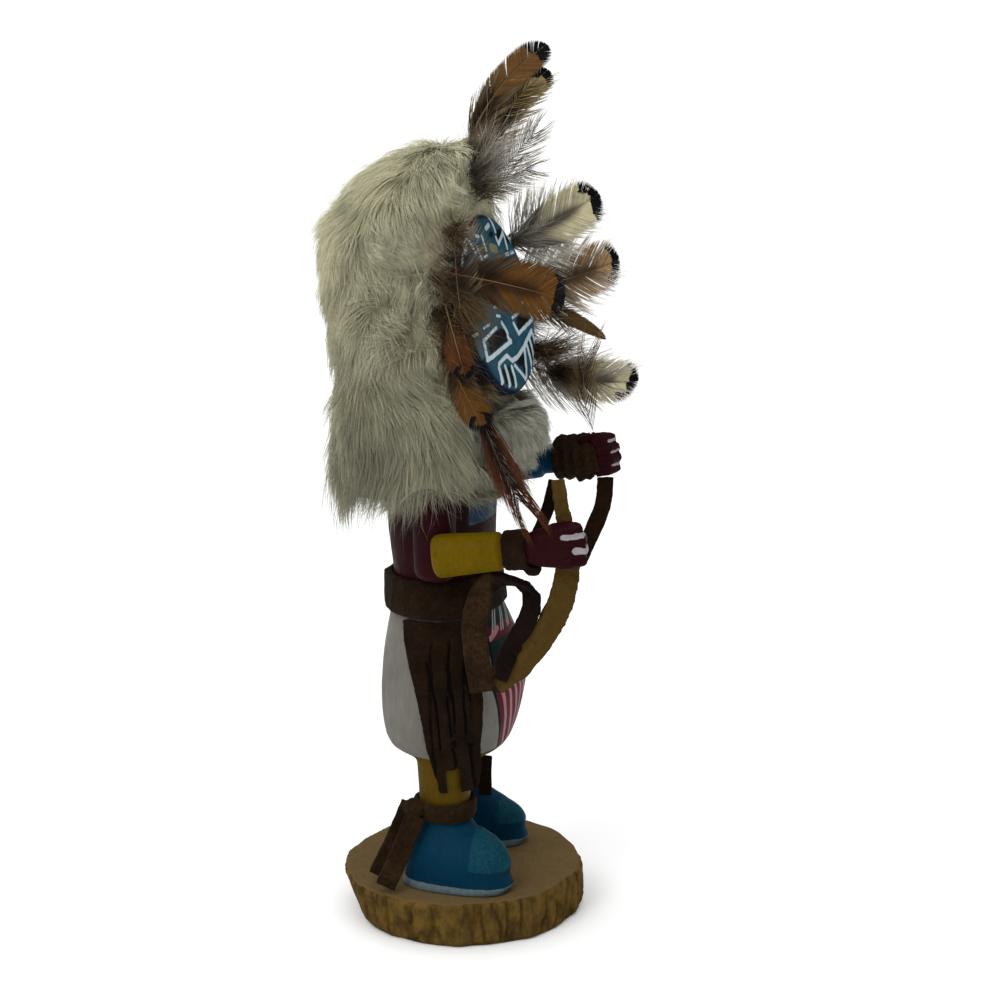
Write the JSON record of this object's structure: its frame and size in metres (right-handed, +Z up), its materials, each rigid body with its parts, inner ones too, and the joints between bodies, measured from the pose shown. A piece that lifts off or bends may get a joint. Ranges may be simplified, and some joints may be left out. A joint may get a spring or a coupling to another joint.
{
  "type": "kachina doll",
  "caption": "Carved and painted wooden standing doll with a fur headdress, feathers, a bow and suede ties, on a round slice of branch.",
  "frame": {"origin": "on the underside of the branch slice, below the middle of the doll", "axes": "+Z up through the doll; the doll faces -Y and its right hand is on the -X side"},
  "size_m": [0.0852, 0.0982, 0.2884],
  "materials": {
    "branch_slice": "sawn top, rough bark",
    "painted_wood": "matt painted carving",
    "face_paint": "painted",
    "fur": "long soft fur",
    "suede": "suede",
    "bark": "raw, rough edged",
    "feather": "natural feather"
  },
  "bodies": {
    "root": {"base_slice": "branch_slice", "carved_figure": "painted_wood", "face_board": "face_paint", "right_forearm": "painted_wood", "left_forearm": "painted_wood", "fur_headdress": "fur", "fur_ruff": "fur", "belt": "suede", "belt_fringe": "suede", "right_wristband": "suede", "left_wristband": "suede", "bow": "bark", "bow_sling": "suede", "left_wrist_tail_front": "suede", "left_wrist_tail_back": "suede", "right_leg_tie": "suede", "left_leg_tie": "suede", "crest_feather_back": "feather", "crest_feather_front": "feather", "crest_feather_low": "feather", "crest_plume": "feather", "left_feather_top": "feather", "left_feather_middle": "feather", "left_feather_pointed": "feather", "left_feather_low": "feather", "left_feather_cheek": "feather", "right_feather_brow": "feather", "right_feather_golden": "feather", "right_feather_temple": "feather", "right_feather_cheek": "feather", "right_hackle": "feather", "left_wrist_feather": "feather"}
  },
  "joints": []
}
